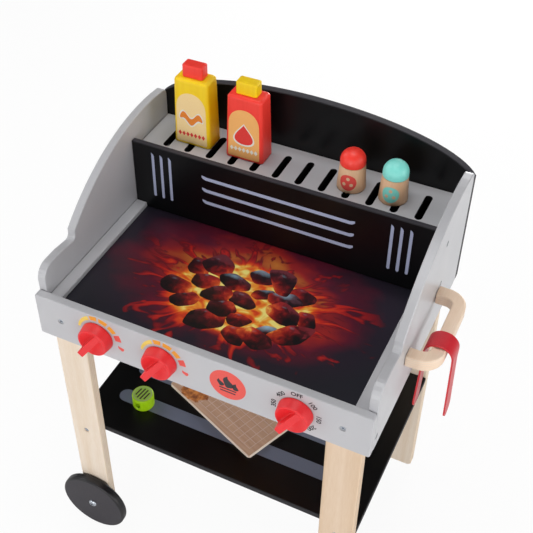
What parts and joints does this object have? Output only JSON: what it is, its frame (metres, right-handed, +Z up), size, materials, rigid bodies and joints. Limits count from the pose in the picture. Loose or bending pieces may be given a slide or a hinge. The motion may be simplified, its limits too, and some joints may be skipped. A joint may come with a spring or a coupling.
{
  "type": "toy barbecue grill",
  "caption": "Wooden toy barbecue grill on legs and wheels, with turning knobs, slotted shelf, storage shelf, side handle and play accessories.",
  "frame": {"origin": "middle of the bottom of the bounding box, on the floor", "axes": "+Z up, +Y from the front panel to the back panel, +X to the right as seen from the front"},
  "size_m": [0.463, 0.3296, 0.5991],
  "materials": {
    "grey_paint": "light grey satin lacquer on MDF",
    "black_paint": "black semi-gloss lacquer on MDF",
    "ember_print": "hardboard with a printed and varnished ember bed",
    "birch": "clear-lacquered birch plywood",
    "wheel_paint": "black painted wood",
    "zinc": "zinc-plated steel",
    "red_plastic": "red moulded ABS",
    "yellow_paint": "yellow satin paint on wood",
    "red_paint": "red satin paint on wood",
    "turquoise_paint": "turquoise satin paint on wood",
    "beech": "turned beech, clear lacquer",
    "green_paint": "lime green paint on wood",
    "printed_wood": "thin plywood with a printed grid"
  },
  "bodies": {
    "frame": {"front_panel": "grey_paint", "left_side_panel": "grey_paint", "right_side_panel": "grey_paint", "left_rail": "grey_paint", "right_rail": "grey_paint", "spice_shelf": "grey_paint", "back_panel": "black_paint", "vent_panel": "black_paint", "lower_shelf": "black_paint", "fire_board": "ember_print", "front_left_leg": "birch", "front_right_leg": "birch", "back_left_leg": "birch", "back_right_leg": "birch", "side_handle": "birch", "front_washer": "zinc", "back_washer": "zinc", "front_axle_screw": "zinc", "back_axle_screw": "zinc", "front_screw_left": "zinc", "front_screw_right": "zinc", "back_screw_left": "zinc", "back_screw_right": "zinc", "front_shelf_screw_left": "zinc", "front_shelf_screw_right": "zinc", "back_shelf_screw_left": "zinc", "back_shelf_screw_right": "zinc", "side_leg_screw_left": "zinc", "side_leg_screw_right": "zinc", "lower_vent_screw_left": "zinc", "lower_vent_screw_right": "zinc", "upper_vent_screw_left": "zinc", "upper_vent_screw_right": "zinc", "handle_screw_front": "zinc", "handle_screw_back": "zinc"},
    "left_knob": {"left_knob": "red_plastic", "left_spindle": "zinc"},
    "middle_knob": {"middle_knob": "red_plastic", "middle_spindle": "zinc"},
    "right_knob": {"right_knob": "red_plastic", "right_spindle": "zinc"},
    "front_wheel": {"front_wheel": "wheel_paint"},
    "back_wheel": {"back_wheel": "wheel_paint"},
    "mustard": {"mustard_bottle": "yellow_paint", "mustard_cap": "red_paint"},
    "ketchup": {"ketchup_bottle": "red_paint", "ketchup_cap": "yellow_paint"},
    "red_shaker": {"red_shaker": "beech", "red_dome": "red_paint"},
    "turquoise_shaker": {"turquoise_shaker": "beech", "turquoise_dome": "turquoise_paint"},
    "tongs": {"tongs": "red_plastic"},
    "food_slice": {"food_slice": "green_paint"},
    "serving_board": {"serving_board": "printed_wood"}
  },
  "joints": [
    {"name": "left_knob_turn", "type": "hinge", "parent": "frame", "child": "left_knob", "pos_m": [-0.13555, -0.1422, 0.397], "axis": [0, 1, 0], "continuous": true},
    {"name": "middle_knob_turn", "type": "hinge", "parent": "frame", "child": "middle_knob", "pos_m": [-0.05555, -0.1422, 0.397], "axis": [0, 1, 0], "continuous": true},
    {"name": "right_knob_turn", "type": "hinge", "parent": "frame", "child": "right_knob", "pos_m": [0.10245, -0.1422, 0.397], "axis": [0, 1, 0], "continuous": true},
    {"name": "front_wheel_spin", "type": "hinge", "parent": "frame", "child": "front_wheel", "pos_m": [-0.18465, -0.1327, 0.0468], "axis": [0, 1, 0], "continuous": true},
    {"name": "back_wheel_spin", "type": "hinge", "parent": "frame", "child": "back_wheel", "pos_m": [-0.18465, 0.1501, 0.0468], "axis": [0, 1, 0], "continuous": true},
    {"name": "mustard_lift", "type": "slide", "parent": "frame", "child": "mustard", "axis": [0, 0, 1], "range_m": [0, 0.11]},
    {"name": "ketchup_lift", "type": "slide", "parent": "frame", "child": "ketchup", "axis": [0, 0, 1], "range_m": [0, 0.11]},
    {"name": "red_shaker_lift", "type": "slide", "parent": "frame", "child": "red_shaker", "axis": [0, 0, 1], "range_m": [0, 0.1]},
    {"name": "turquoise_shaker_lift", "type": "slide", "parent": "frame", "child": "turquoise_shaker", "axis": [0, 0, 1], "range_m": [0, 0.1]},
    {"name": "tongs_lift", "type": "slide", "parent": "frame", "child": "tongs", "axis": [0, 0, 1], "range_m": [0, 0.13]},
    {"name": "food_slice_slide", "type": "slide", "parent": "frame", "child": "food_slice", "axis": [0, -1, 0], "range_m": [0, 0.13]},
    {"name": "serving_board_slide", "type": "slide", "parent": "frame", "child": "serving_board", "axis": [0, -1, 0], "range_m": [0, 0.26]}
  ]
}
